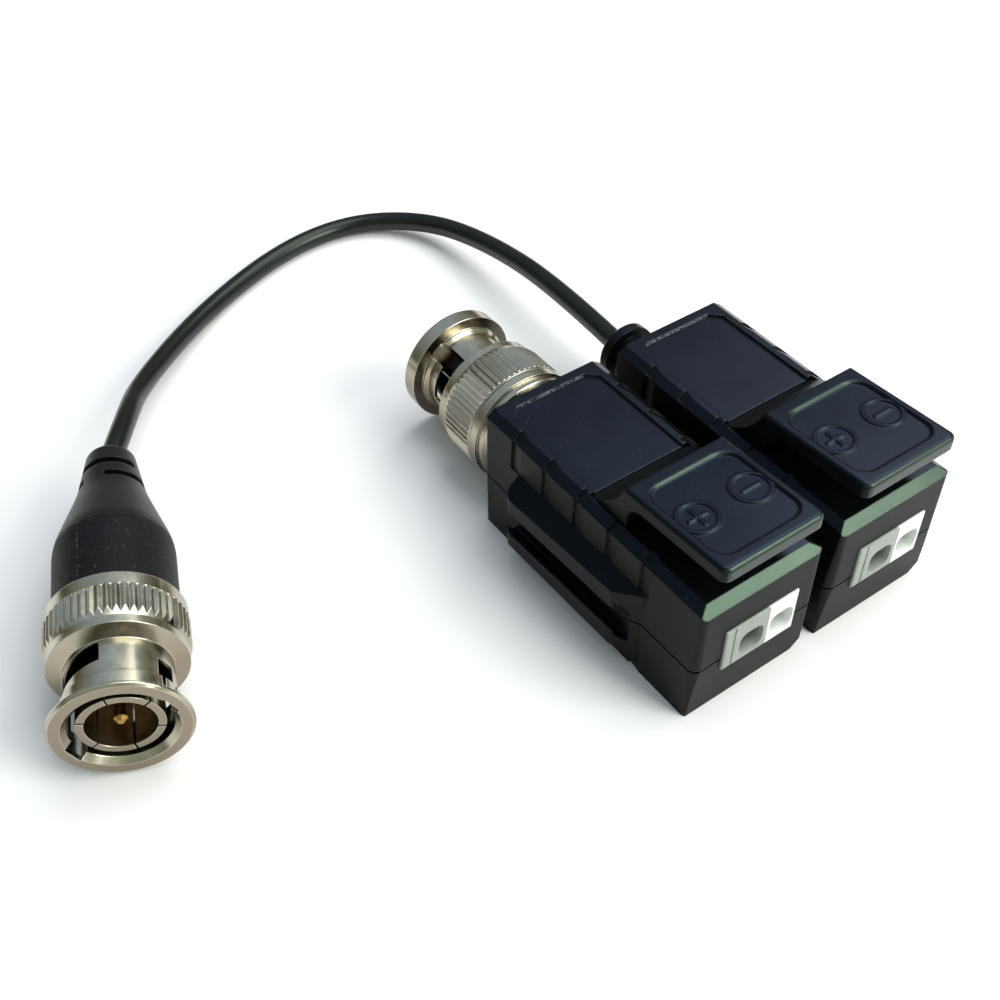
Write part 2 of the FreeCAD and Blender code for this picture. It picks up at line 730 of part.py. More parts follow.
def press_lever(side, x):
    name = side + "_lever"
    under = "(%s - lever_sheet)" % LEVER_FRONT
    shoulder_y = "(lever_gap_rear - 2)"
    body = doc.addObject("PartDesign::Body", name + "_moulding")
    sketch = flat_sketch(body, name + "_profile", "YZ_Plane", [
        ("-lever_overhang", under),
        ("-lever_overhang", LEVER_FRONT),
        ("lever_rear", LEVER_REAR),
        ("ramp_foot", "housing_height - panel_depth", "ramp_radius"),
        ("ramp_foot", ROOT_LOW),
        ("hinge_y + boss_half", ROOT_LOW),
        ("hinge_y + boss_half", "%s - boss_half" % HINGE_Z),
        ("hinge_y - boss_half", "%s - boss_half" % HINGE_Z),
        ("hinge_y - boss_half", ROOT_LOW),
        ("lever_gap_rear", ROOT_LOW),
        ("lever_gap_rear", "housing_height + lever_gap_shoulder"),
        (shoulder_y, "%s - %s * (%s + lever_overhang)" % (under, LEVER_SLOPE, shoulder_y),
         "lever_gap_round"),
    ])
    slab = body.newObject("PartDesign::Pad", name + "_slab")
    slab.Profile = sketch
    slab.SideType = "Symmetric"
    bind(slab, Length="lever_width")
    doc.recompute()
    upright = []
    for index, edge in enumerate(slab.Shape.Edges, 1):
        box = edge.BoundBox
        at_front = box.YMax < 0.01 - number("lever_overhang")
        if at_front and box.XLength < 0.01:
            upright.append("Edge%d" % index)
    corners = body.newObject("PartDesign::Fillet", name + "_corners")
    corners.Base = (slab, upright)
    bind(corners, Radius="lever_corner")
    doc.recompute()
    outline = [edge for edge, box in top_edges(corners.Shape) if box.YMin < number("lever_rear") - 0.01]
    rim = body.newObject("PartDesign::Fillet", name + "_rim")
    rim.Base = (corners, outline)
    bind(rim, Radius="lever_edge")
    for pole, middle in POLES.items():
        block("%s_%s_finger" % (name, pole), ("%s - finger_half" % middle, "%s + finger_half" % middle),
              ("finger_front", "hinge_y"), ("%s - boss_half" % HINGE_Z, HINGE_Z), body,
              "PartDesign::AdditiveBox")
    rod(name + "_trunnions", "hinge_radius", "lever_width + 2 * hinge_reach",
        "-lever_width / 2 - hinge_reach", "hinge_y", HINGE_Z, "x", body, "PartDesign::AdditiveCylinder")
    dish = block(name + "_dish", ("-recess_half", "recess_half"), ("recess_front", "recess_rear"),
                 ("0", "recess_depth + 1"), body, "PartDesign::SubtractiveBox")
    on_lever(dish, "-recess_half", "recess_front", "-recess_depth")
    doc.recompute()
    recess_corners = []
    for index, edge in enumerate(dish.Shape.Edges, 1):
        middle = edge.CenterOfMass
        as_deep = abs(edge.Length - number("recess_depth")) < 0.01
        if as_deep and abs(abs(middle.x) - number("recess_half")) < 0.01:
            recess_corners.append("Edge%d" % index)
    rounding = body.newObject("PartDesign::Fillet", name + "_dish_round")
    rounding.Base = (dish, recess_corners)
    bind(rounding, Radius="min(recess_round; recess_half - 0.5)")
    doc.recompute()
    brink = [edge for edge, box in top_edges(rounding.Shape)
             if box.YMin > 0 and max(abs(box.XMin), abs(box.XMax)) < number("recess_half") + 0.01]
    eased = body.newObject("PartDesign::Chamfer", name + "_dish_edge")
    eased.Base = (rounding, brink)
    bind(eased, Size="recess_edge")
    marks = []
    for pole, sign in (("plus", -1), ("minus", 1)):
        middle = "%d * mark_offset" % sign
        disc = rod("%s_%s_disc" % (name, pole), "mark_radius", "recess_depth", "0", "0", "0")
        hole = rod("%s_%s_hole" % (name, pole), "mark_radius - mark_stroke", "recess_depth", "0", "0", "0")
        for round_bar in (disc, hole):
            on_lever(round_bar, middle, "mark_place", "mark_relief - 2 * recess_depth")
        marks.append(cut("%s_%s_circle" % (name, pole), disc, hole))
        arms = [("across", "mark_arm", "mark_stroke / 2")]
        if pole == "plus":
            arms.append(("along", "mark_stroke / 2", "mark_arm"))
        for way, wide, deep in arms:
            arm = block("%s_%s_%s" % (name, pole, way), ("-(%s)" % wide, wide), ("-(%s)" % deep, deep),
                        ("0", "recess_depth"))
            marks.append(on_lever(arm, "%s - (%s)" % (middle, wide), "mark_place - (%s)" % deep,
                                  "mark_relief - 2 * recess_depth"))
    keep(fuse(name + "_whole", body, *marks), side + "_press_lever", x, FRONT_Y, "0")


# The wire terminal of one unit: block, spring clamps and contact bars

def rounded_square(middle, height, half, corner):
    """A square with round corners, as an outline with arcs."""
    corners = []
    for east, north in ((1, -1), (1, 1), (-1, 1), (-1, -1)):
        side_x = "%s + %d * %s" % (middle, east, half)
        side_z = "%s + %d * %s" % (height, north, half)
        near_x = "%s + %d * (%s - %s)" % (middle, east, half, corner)
        near_z = "%s + %d * (%s - %s)" % (height, north, half, corner)
        if east == north:
            corners.append((side_x, near_z))
            corners.append((near_x, side_z, corner))
        else:
            corners.append((near_x, side_z))
            corners.append((side_x, near_z, corner))
    return corners


def terminal_block(side, x):
    name = side + "_terminal"
    body = doc.addObject("PartDesign::Body", name)
    nose = block(name + "_nose", ("-terminal_left", TERMINAL_RIGHT), ("-terminal_proud", "wall + 1"),
                 (below_roof("terminal_low"), below_roof("terminal_top")), body, "PartDesign::AdditiveBox")
    doc.recompute()
    outline = ["Edge%d" % index for index, edge in enumerate(nose.Shape.Edges, 1)
               if edge.BoundBox.YMax < -number("terminal_proud") / 2]
    eased = body.newObject("PartDesign::Fillet", name + "_nose_edge")
    eased.Base = (nose, outline)
    bind(eased, Radius="terminal_edge")
    block(name + "_back", ("-terminal_left - block_margin", "%s + block_margin" % TERMINAL_RIGHT),
          ("wall", "block_rear"), (BLOCK_LOW, BLOCK_TOP), body, "PartDesign::AdditiveBox")
    cutter = "PartDesign::SubtractiveBox"
    for pole, middle in POLES.items():
        part = "%s_%s" % (name, pole)
        mouth = flat_sketch(body, part + "_mouth", "XZ_Plane",
                            rounded_square(middle, WIRE_Z, "funnel_half", "funnel_round"),
                            "terminal_proud")
        throat = flat_sketch(body, part + "_throat", "XZ_Plane",
                             rounded_square(middle, WIRE_Z, "wire_radius", "0.9 * wire_radius"),
                             "-funnel_depth")
        funnel = body.newObject("PartDesign::SubtractiveLoft", part + "_funnel")
        funnel.Profile = mouth
        funnel.Sections = [throat]
        funnel.Ruled = True
        rod(part + "_wire_hole", "wire_radius", "clamp_slot_front - funnel_depth + 0.2", middle,
            "funnel_depth - 0.1", WIRE_Z, "y", body, "PartDesign::SubtractiveCylinder")
        block(part + "_clamp_slot", ("%s - clamp_slot_half" % middle, "%s + clamp_slot_half" % middle),
              ("clamp_slot_front", "clamp_slot_rear"),
              (below_roof("clamp_slot_floor"), "%s + 1" % BLOCK_TOP), body, cutter)
        block(part + "_bar_slot", ("%s - bar_half" % middle, "%s + bar_half" % middle),
              ("bar_front", "block_rear + 1"), (BAR_LOW, "%s + bar_sheet" % BAR_LOW), body, cutter)
    for tag, line in (("end", "end_line - terminal_left"),
                      ("middle", "end_plate + pole_pitch - terminal_left")):
        block("%s_%s_line" % (name, tag), ("%s - divider / 2" % line, "%s + divider / 2" % line),
              ("-1", "divider_depth - terminal_proud"), TERMINAL_SPAN, body, cutter)
    keep(body, side + "_terminal_block", x, FRONT_Y, "0")


def wire_clamp(side, pole, x):
    """A bent spring strip: its windowed leg rises and pinches the bare wire against the bar."""
    name = "%s_clamp_%s" % (side, pole)
    middle = POLES[pole]
    wide = ("%s - clamp_half" % middle, "%s + clamp_half" % middle)
    body = doc.addObject("PartDesign::Body", name)
    add = "PartDesign::AdditiveBox"
    block(name + "_leg", wide, ("clamp_front", "clamp_front + clamp_sheet"),
          (CLAMP_LOW, CLAMP_TOP), body, add)
    block(name + "_top", wide, ("clamp_front", "clamp_rear"),
          ("%s - clamp_sheet" % CLAMP_TOP, CLAMP_TOP), body, add)
    block(name + "_lip", wide, ("clamp_front", "clamp_front + clamp_lip"),
          (CLAMP_LOW, "%s + clamp_sheet" % CLAMP_LOW), body, add)
    block(name + "_window", ("%s - window_half" % middle, "%s + window_half" % middle),
          ("clamp_front - 1", "clamp_front + clamp_sheet"),
          (below_roof("window_low"), below_roof("window_top")), body,
          "PartDesign::SubtractiveBox")
    keep(body, "%s_wire_clamp_%s" % (side, pole), x, FRONT_Y, "0")


def contact_bar(side, pole, x):
    """The fixed bar over the wire, with its tail down to the board."""
    name = "%s_bar_%s" % (side, pole)
    middle = POLES[pole]
    wide = ("%s - bar_half" % middle, "%s + bar_half" % middle)
    body = doc.addObject("PartDesign::Body", name)
    block(name + "_bar", wide, ("bar_front", "bar_rear"), (BAR_LOW, "%s + bar_sheet" % BAR_LOW), body,
          "PartDesign::AdditiveBox")
    block(name + "_tail", wide, ("bar_rear - bar_sheet", "bar_rear"),
          ("board_low + board_thick", "%s + bar_sheet" % BAR_LOW), body, "PartDesign::AdditiveBox")
    keep(body, "%s_contact_bar_%s" % (side, pole), x, FRONT_Y, "0")


# The circuit board of one unit, with its two-hole core and the winding through it

def board_and_core(side, x):
    board = doc.addObject("PartDesign::Body", side + "_board")
    block(side + "_board_sheet", ("-board_half", "board_half"), ("board_front", BOARD_REAR),
          ("board_low", "board_low + board_thick"), board, "PartDesign::AdditiveBox")
    keep(board, side + "_circuit_board", x, FRONT_Y, "0")
    foot = "board_low + board_thick"
    core = doc.addObject("PartDesign::Body", side + "_core")
    block(side + "_core_block", ("-core_half", "core_half"), (CORE_FRONT, "%s + core_length" % CORE_FRONT),
          (foot, "%s + core_high" % foot), core, "PartDesign::AdditiveBox")
    loops = []
    for hand, sign in (("left", -1), ("right", 1)):
        middle = "%d * core_hole_offset" % sign
        height = "%s + core_high / 2" % foot
        rod("%s_core_%s_hole" % (side, hand), "core_hole", "core_length + 2", middle, "%s - 1" % CORE_FRONT,
            height, "y", core, "PartDesign::SubtractiveCylinder")
        loops.append(rod("%s_winding_%s" % (side, hand), "wire_bundle", "core_length + 2 * wire_bundle",
                         middle, "%s - wire_bundle" % CORE_FRONT, height, "y"))
    for end, place in (("front", "%s - wire_bundle" % CORE_FRONT),
                       ("rear", "%s + core_length + wire_bundle" % CORE_FRONT)):
        loops.append(rod("%s_winding_%s" % (side, end), "wire_bundle - 0.05", "2 * core_hole_offset",
                         "-core_hole_offset", place, "%s + core_high / 2" % foot, "x"))
    keep(core, side + "_ferrite_core", x, FRONT_Y, "0")
    keep(fuse(side + "_winding_whole", *loops), side + "_winding", x, FRONT_Y, "0")


# The coaxial plug: every piece is turned about its X axis, which runs back from the rim

def ring_window(name, window, turn):
    """The tool for one window: a sector about the axis, shared with a slab that leans along it."""
    start = number(window + "_turn") + turn
    pie = doc.addObject("Part::Cylinder", name + "_sector")
    pie.Placement = FreeCAD.Placement(V(), Turn(V(1, 0, 0), start + 90).multiply(ALONG["x"]))
    bind(pie, Angle=window + "_sweep", Radius="knurl_radius + 1", Height="ring_length")
    slab = doc.addObject("Part::Box", name + "_slab")
    bind(slab, Length="%s_rear - %s_front" % (window, window), Width="4 * knurl_radius",
         Height="2 * knurl_radius")
    outward = Turn(V(1, 0, 0), start + number(window + "_sweep") / 2 - 90)
    lean = outward.multiply(Turn(V(0, 0, 1), number(window + "_lean_angle")))
    half = V(number("%s_rear - %s_front" % (window, window)) / 2, 2 * number("knurl_radius"), 0)
    middle = V(number("(%s_front + %s_rear) / 2" % (window, window)), 0, 0)
    slab.Placement = FreeCAD.Placement(middle - lean.multVec(half), lean)
    return common(name, pie, slab)


def coupling_ring(side, place):
    """The bayonet ring: entry grooves from the rim, windows at their far ends, and a knurled grip.

    Entry and window stand at named angles about the axis, and both are repeated half a turn on.
    """
    name = side + "_ring"
    knurl_rear = side + "_knurl_rear"
    window = side + "_window"
    entry = number(side + "_entry_turn")
    keeper_rear = "keeper_front + keeper_thick"
    body = turned(name, [
        ("mouth_chamfer", "ring_bore"),
        ("0", "ring_bore + mouth_chamfer"),
        ("0", "rim_radius - rim_chamfer"),
        ("rim_chamfer", "rim_radius"),
        (side + "_rim_rear", "rim_radius"),
        (side + "_shoulder_front", "shoulder_radius"),
        (side + "_shoulder_rear", "shoulder_radius"),
        ("neck_front", "ring_neck"),
        ("neck_rear", "ring_neck"),
        ("band_front", "rim_radius"),
        ("knurl_front", "rim_radius"),
        ("knurl_front + knurl_run", "knurl_radius"),
        (knurl_rear, "knurl_radius"),
        (knurl_rear, "tail_radius"),
        ("ring_length", "tail_radius"),
        ("ring_length", "ring_cavity"),
        (keeper_rear, "ring_cavity"),
        (keeper_rear, "keeper_seat"),
        ("keeper_front", "keeper_seat"),
        ("keeper_front", "ring_cavity"),
        ("shoulder_at", "ring_cavity"),
        ("shoulder_at", "ring_bore"),
    ])
    # a six-sided prism with one edge down cuts a valley of 120 degrees
    vee = body.newObject("PartDesign::SubtractivePrism", name + "_vee")
    vee.Polygon = 6
    vee.Placement = FreeCAD.Placement(V(), ALONG["x"])
    bind(vee, Circumradius="3 * knurl_depth", Height="%s - knurl_front" % knurl_rear,
         x="knurl_front", y="0", z="knurl_radius + 2 * knurl_depth")
    around(body, name + "_knurl", vee, side + "_knurl_teeth")
    tools = []
    for turn in (0, 180):
        tools.append(ring_window("%s_window_%d" % (name, turn), window, turn))
        groove = doc.addObject("Part::Box", "%s_entry_%d" % (name, turn))
        bind(groove, Length="%s_entry_rear + 1" % side, Width="groove_width", Height="groove_radius")
        lift = Turn(V(1, 0, 0), entry + turn - 90)
        groove.Placement = FreeCAD.Placement(V(), lift)
        shift = lift.multVec(V(-1, -number("groove_width") / 2, 0))
        groove.Placement = FreeCAD.Placement(shift, lift)
        tools.append(groove)
    keep(cut(name + "_open", body, *tools), side + "_coupling_ring", *place)
    keeper = turned(side + "_keeper", [
        ("keeper_front", "keeper_inner"), ("keeper_front", "keeper_seat"), (keeper_rear, "keeper_seat"),
        (keeper_rear, "keeper_inner"),
    ])
    keep(keeper, side + "_retaining_ring", *place)
    dish = turned(side + "_dish_spring", [
        ("shoulder_at", "spring_inner"), ("shoulder_at + spring_sheet", "spring_inner"),
        ("shoulder_at + spring_sheet + spring_dish", "spring_outer"),
        ("shoulder_at + spring_dish", "spring_outer"),
    ])
    keep(dish, side + "_spring_washer", *place)


def plug_core(side, back, pin_rear, place):
    """The plug's fixed metal body, slotted outer contact, insulator and centre pin."""
    flange_rear = "flange_front + flange_thick"
    body = turned(side + "_metal", [
        ("shoulder_at", "sleeve_outer"),
        ("shoulder_at", "tube_radius"),
        ("flange_front", "tube_radius"),
        ("flange_front", "flange_radius"),
        (flange_rear, "flange_radius"),
        (flange_rear, "tube_radius"),
    ] + back + [
        ("insulator_rear", "rear_bore"),
        ("insulator_rear", "sleeve_inner"),
        ("sleeve_rear", "sleeve_inner"),
        ("sleeve_rear", "sleeve_outer"),
    ])
    keep(body, side + "_plug_body" if side == "left" else "plug_body", *place)
    sleeve = turned(side + "_sleeve", [
        ("sleeve_front", "sleeve_inner"), ("sleeve_front", "sleeve_outer"), ("sleeve_rear", "sleeve_outer"),
        ("sleeve_rear", "sleeve_inner"),
    ])
    slot = sleeve.newObject("PartDesign::SubtractiveBox", side + "_sleeve_slot")
    turn = side + "_slot_turn"
    slot.Placement = FreeCAD.Placement(V(), Turn(V(1, 0, 0), number(turn)))
    bind(slot, Length="sleeve_slot_depth + 1", Width="sleeve_slot_width", Height="sleeve_outer + 1",
         x="sleeve_front - 1", y="-sleeve_slot_width / 2 * cos(%s)" % turn,
         z="-sleeve_slot_width / 2 * sin(%s)" % turn)
    around(sleeve, side + "_sleeve_slots", slot, "sleeve_slots")
    keep(sleeve, side + "_outer_contact", *place)
    bead = turned(side + "_bead", [
        ("insulator_front", "pin_radius"), ("insulator_front", "sleeve_inner"),
        ("insulator_rear", "sleeve_inner"), ("insulator_rear", "pin_radius"),
    ])
    keep(bead, side + "_insulator", *place)
    pin = turned(side + "_pin", [
        ("pin_tip", "0"), ("pin_tip", "pin_radius / 2"), ("pin_tip + pin_radius / 2", "pin_radius"),
        (pin_rear, "pin_radius"), (pin_rear, "0"),
    ])
    keep(pin, side + "_centre_pin", *place)


def left_back():
    """Behind the ring of the left unit's plug: a stepped collar, and a neck held by a flange in the case."""
    collar = "ring_length + collar_gap"
    inner = "rim_reach + wall"
    return [
        (collar, "tube_radius"),
        (collar, "collar_radius"),
        ("%s + collar_step" % collar, "collar_radius"),
        ("%s + collar_step" % collar, "collar_second"),
        ("%s + collar_length - collar_taper" % collar, "collar_second"),
        ("%s + collar_length" % collar, "collar_rear_radius"),
        ("%s + collar_length" % collar, "mount_neck"),
        (inner, "mount_neck"),
        (inner, "inner_flange"),
        ("%s + inner_flange_thick" % inner, "inner_flange"),
        ("%s + inner_flange_thick" % inner, "rear_bore"),
    ]


def plug_back():
    """Behind the ring of the pigtail's plug: the crimp barrel inside the boot."""
    return [
        ("boot_front", "tube_radius"),
        ("boot_front", "barrel_radius"),
        ("barrel_rear", "barrel_radius"),
        ("barrel_rear", "rear_bore"),
    ]


def soften(body, name, base, place, radius, size):
    """Round one turned edge, found by its place along the axis and its radius."""
    doc.recompute()
    found = []
    for index, edge in enumerate(base.Shape.Edges, 1):
        if isinstance(edge.Curve, Part.Circle):
            near = abs(edge.Curve.Center.x - number(place)) + abs(edge.Curve.Radius - number(radius))
            if near < 0.01:
                found.append("Edge%d" % index)
    fillet = body.newObject("PartDesign::Fillet", name)
    fillet.Base = (base, found)
    return bind(fillet, Radius=size)


def plug_boot(place):
    """The moulded boot: a straight grip, a cone and a slotted waist for the cord."""
    body = turned("boot", [
        ("boot_front", "barrel_radius"),
        ("boot_front", "boot_radius"),
        ("boot_shoulder", "boot_shoulder_radius"),
        ("boot_waist", "boot_waist_radius"),
        ("boot_end", "boot_end_radius"),
        ("boot_end", "0"),
        ("barrel_rear", "0"),
        ("barrel_rear", "barrel_radius"),
    ])
    shape = body.Tip
    for edge in ("boot_shoulder", "boot_waist", "boot_end"):
        shape = soften(body, edge + "_fillet", shape, edge, edge + "_radius", edge + "_round")
    tools = []
    for tag, front in (("near", "relief_near"), ("side", "relief_near"), ("far", "relief_far")):
        outer = doc.addObject("Part::Cylinder", "boot_%s_outer" % tag)
        start = Turn(V(1, 0, 0), number("relief_%s_turn" % tag))
        outer.Placement = FreeCAD.Placement(V(), start.multiply(ALONG["x"]))
        bind(outer, Radius="boot_radius", Height="relief_width", Angle="relief_%s_sweep" % tag, x=front)
        inner = rod("boot_%s_inner" % tag, "relief_core", "relief_width", front, "0", "0", "x")
        tools.append(cut("boot_%s_slot" % tag, outer, inner))
    keep(cut("boot_slotted", body, *tools), "plug_boot", *place)


def strain_relief(place):
    """The ribbed relief in the right unit's rear wall; its X axis runs out of the unit."""
    groove, ring = "gland_groove", "gland_ring"
    body = turned("gland", [
        ("-wall - inner_flange_thick", "0"),
        ("-wall - inner_flange_thick", "gland_flange"),
        ("-wall", "gland_flange"),
        ("-wall", "gland_neck"),
        ("0", "gland_neck"),
        ("0", ring),
        ("gland_first", ring),
        ("gland_first", groove),
        ("gland_second", groove),
        ("gland_second", ring),
        ("gland_third", ring),
        ("gland_third", groove),
        ("gland_fourth", groove),
        ("gland_fourth", ring),
        ("gland_reach - gland_chamfer", ring),
        ("gland_reach", "%s - gland_chamfer" % ring),
        ("gland_reach", "0"),
    ])
    keep(body, "right_strain_relief", *place)


def coax_cord():
    """The pigtail: straight runs joined by tangent arcs as large as the runs allow."""
    shift = V(number(LEFT_EDGE), number(FRONT_Y), 0)
    gland_y = number("%s + housing_length + gland_reach" % FRONT_Y)
    gland_end = V(number(RIGHT_X), gland_y, number("seam_height"))
    turn = math.radians(number("plug_turn"))
    boot_end = V(number("plug_x"), number("plug_y"), number("plug_z")) + shift
    boot_end = boot_end + V(math.cos(turn), math.sin(turn), 0) * number("boot_end")
    points = [gland_end] + [V(*point) + shift for point in ROUTE] + [boot_end]
    edges = []
    reached = points[0]
    for before, corner, after in zip(points, points[1:], points[2:]):
        arriving = corner - before
        leaving = after - corner
        bend = arriving.getAngle(leaving)
        shorter = min(arriving.Length, leaving.Length)
        radius = 0.45 * shorter / math.tan(bend / 2)
        back = 0.45 * shorter
        first = corner - V(arriving).normalize() * back
        last = corner + V(leaving).normalize() * back
        inward = (V(leaving).normalize() - V(arriving).normalize()).normalize()
        centre = corner + inward * (radius / math.cos(bend / 2))
        middle = centre - inward * radius
        edges.append(Part.LineSegment(reached, first).toShape())
        edges.append(Part.Arc(first, middle, last).toShape())
        reached = last
        print("cord corner turns %.1f degrees, radius %.1f" % (math.degrees(bend), radius))
    edges.append(Part.LineSegment(reached, points[-1]).toShape())
    path = Part.Wire(edges)
    start_way = (points[1] - points[0]).normalize()
    section = Part.Wire([Part.Circle(points[0], start_way, number("cord_radius")).toShape()])
    tube = path.makePipeShell([section], True, False, 2)
    expected = math.pi * number("cord_radius") ** 2 * path.Length
    print("cord length %.2f" % path.Length)
    print("cord volume %.2f, section times length %.2f" % (tube.Volume, expected))
    cord = doc.addObject("Part::Feature", "cord")
    cord.Shape = tube
    cord.Placement = FreeCAD.Placement()
    cord.Label = "coax_cord"
    finished.append(cord)


# Build both units, the left one's fixed plug, and the right one's pigtail

LEFT_PLUG = (LEFT_X, "%s + housing_length + rim_reach" % FRONT_Y, "seam_height", number("left_plug_turn"))
FAR_PLUG = ("%s + plug_x" % LEFT_EDGE, "%s + plug_y" % FRONT_Y, "plug_z", number("plug_turn"))
GLAND = (RIGHT_X, "%s + housing_length" % FRONT_Y, "seam_height", number("gland_turn"))

for side, middle, neck in (("left", LEFT_X, "mount_neck"), ("right", RIGHT_X, "gland_neck")):
    rear_radius = "%s + neck_fit" % neck
    upper_shell(side, rear_radius, middle)
    lower_shell(side, rear_radius, middle)
    press_lever(side, middle)
    terminal_block(side, middle)
    for pole in POLES:
        wire_clamp(side, pole, middle)
        contact_bar(side, pole, middle)
    board_and_core(side, middle)

plug_core("left", left_back(), "left_pin_rear", LEFT_PLUG)
coupling_ring("left", LEFT_PLUG)
strain_relief(GLAND)
coax_cord()
plug_boot(FAR_PLUG)
plug_core("plug", plug_back(), "plug_pin_rear", FAR_PLUG)
coupling_ring("plug", FAR_PLUG)

doc.recompute()
for item in doc.Objects:
    if "Invalid" in item.State or "Error" in item.State:
        raise RuntimeError("%s did not build: %s" % (item.Name, item.State))
os.makedirs("parts", exist_ok=True)
for piece in finished:
    if piece.Shape.isNull() or not piece.Shape.isValid():
        raise RuntimeError("%s has no sound shape" % piece.Label)
    print("%-28s %8.2f mm3, %d solid" % (piece.Label, piece.Shape.Volume, len(piece.Shape.Solids)))
for piece in finished:
    piece.Shape.exportStep("parts/%s.step" % piece.Label)
print("%d pieces" % len(finished))
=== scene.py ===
# Two passive video baluns clipped side by side, the left with a rigid coaxial plug and the right
# with a coaxial pigtail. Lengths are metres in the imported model's frame: +X from the left unit to
# the right one, +Y from the wire terminals to the plugs, +Z up from the surface they lie on.

import bpy
import math
from mathutils import Matrix, Vector


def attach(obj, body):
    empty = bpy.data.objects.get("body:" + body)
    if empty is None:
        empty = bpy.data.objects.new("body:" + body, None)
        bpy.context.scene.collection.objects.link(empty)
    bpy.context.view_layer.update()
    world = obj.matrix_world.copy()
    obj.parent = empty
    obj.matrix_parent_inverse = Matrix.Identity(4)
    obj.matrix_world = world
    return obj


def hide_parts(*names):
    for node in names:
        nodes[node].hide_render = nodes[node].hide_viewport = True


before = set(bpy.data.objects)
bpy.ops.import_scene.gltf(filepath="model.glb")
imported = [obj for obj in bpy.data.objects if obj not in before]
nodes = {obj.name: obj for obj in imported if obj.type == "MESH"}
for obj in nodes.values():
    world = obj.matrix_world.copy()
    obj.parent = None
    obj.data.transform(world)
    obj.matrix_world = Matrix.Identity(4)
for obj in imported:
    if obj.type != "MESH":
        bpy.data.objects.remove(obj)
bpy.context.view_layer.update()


# Lower shells. The lower half of each case is moulded in black ABS from a finely eroded tool,
# and the board and the wire terminal lie in it before the upper half snaps on.

MM = 0.001
LEFT_X = -8.9 * MM
RIGHT_X = 9.1 * MM
FRONT_Y = -26.31 * MM
SEAM_Z = 7.3 * MM

# The width over which one look gives way to the next, and the span that most noise lies in.
FEATHER = 0.1 * MM
CLOUD_LOW = 0.3
CLOUD_HIGH = 0.7


def paint(code):
    """An sRGB hex colour as linear red, green, blue and alpha."""
    channels = [int(code[place:place + 2], 16) / 255 for place in (1, 3, 5)]
    turned = [c / 12.92 if c <= 0.04045 else ((c + 0.055) / 1.055) ** 2.4 for c in channels]
    return turned + [1.0]


def add(tree, kind, inputs=None, **settings):
    """Add a node, with its settings, and with each input set to a value or linked to an output."""
    made = tree.nodes.new("ShaderNode" + kind)
    for name, value in settings.items():
        setattr(made, name, value)
    for name, value in (inputs or {}).items():
        if isinstance(value, bpy.types.NodeSocket):
            tree.links.new(value, made.inputs[name])
        else:
            made.inputs[name].default_value = value
    return made


def new_finish(name, **values):
    """A material whose one shader has these values."""
    made = bpy.data.materials.new(name)
    made.use_nodes = True
    tree = made.node_tree
    tree.nodes.clear()
    inputs = {key.replace("_", " "): value for key, value in values.items()}
    shader = add(tree, "BsdfPrincipled", inputs)
    add(tree, "OutputMaterial", {"Surface": shader.outputs[0]})
    return made, tree, shader


def feed(tree, shader, **sources):
    """Link outputs to a shader's inputs."""
    for key, source in sources.items():
        tree.links.new(source, shader.inputs[key.replace("_", " ")])


def bumped(tree, shader, height, strength, depth_mm, **under):
    """Raise a shader's surface by a height, over another direction where one is given."""
    made = add(tree, "Bump", {"Height": height, "Strength": strength,
                              "Distance": depth_mm * MM, **under})
    tree.links.new(made.outputs["Normal"], shader.inputs["Normal"])


def object_place(tree):
    """Where a point lies, in metres."""
    return add(tree, "TexCoord").outputs["Object"]


def parts_of(tree, vector):
    """The X, Y and Z of a vector."""
    return add(tree, "SeparateXYZ", {"Vector": vector}).outputs


def face_way(tree):
    """Which way the surface faces, as the X, Y and Z of its direction."""
    return parts_of(tree, add(tree, "TexCoord").outputs["Normal"])


def joined(tree, how, first, second=0.0):
    """Two values put together, or one changed, by an operation of the maths node."""
    return add(tree, "Math", {0: first, 1: second}, operation=how).outputs[0]


def distance_from(tree, value, middle):
    """How far a value lies from a middle, to either side."""
    return joined(tree, "ABSOLUTE", joined(tree, "SUBTRACT", value, middle))


def span(tree, value, low, high, to_low, to_high):
    """A value carried from one span to another, and held at its ends."""
    made = add(tree, "MapRange", {"Value": value, "From Min": low, "From Max": high,
                                  "To Min": to_low, "To Max": to_high})
    return made.outputs["Result"]


def rising(tree, value, low, high):
    """Nought before a span and one after it."""
    return span(tree, value, low, high, 0.0, 1.0)


def falling(tree, value, low, high):
    """One before a span and nought after it."""
    return span(tree, value, low, high, 1.0, 0.0)


def noise(tree, place, size_mm, detail=2.0):
    """Noise whose cells are about this many millimetres across."""
    made = add(tree, "TexNoise", {"Vector": place, "Scale": 1 / (size_mm * MM), "Detail": detail})
    return made.outputs["Fac"]


def spots(tree, place, size_mm, low, high, most=1.0, detail=1.0):
    """Scattered spots where a noise is high, up to a share."""
    return span(tree, noise(tree, place, size_mm, detail), low, high, 0.0, most)


def ramp(tree, value, stops):
    """A colour ramp between places with hex colours."""
    made = add(tree, "ValToRGB", {"Fac": value})
    while len(made.color_ramp.elements) < len(stops):
        made.color_ramp.elements.new(0.5)
    for element, (place, code) in zip(made.color_ramp.elements, stops):
        element.position = place
        element.color = paint(code)
    return made.outputs["Color"]


def clouded(tree, cloud, dark, pale):
    """A colour that drifts between two with a noise."""
    return ramp(tree, cloud, [(CLOUD_LOW, dark), (CLOUD_HIGH, pale)])


def drifting(tree, cloud, low, high):
    """A value that drifts between two with a noise."""
    return span(tree, cloud, CLOUD_LOW, CLOUD_HIGH, low, high)


def blended(tree, share, first, second):
    """Two colours mixed by a share."""
    made = add(tree, "Mix", {0: share}, data_type="RGBA")
    for place, value in ((6, first), (7, second)):
        if isinstance(value, bpy.types.NodeSocket):
            tree.links.new(value, made.inputs[place])
        else:
            made.inputs[place].default_value = value
    return made.outputs[2]


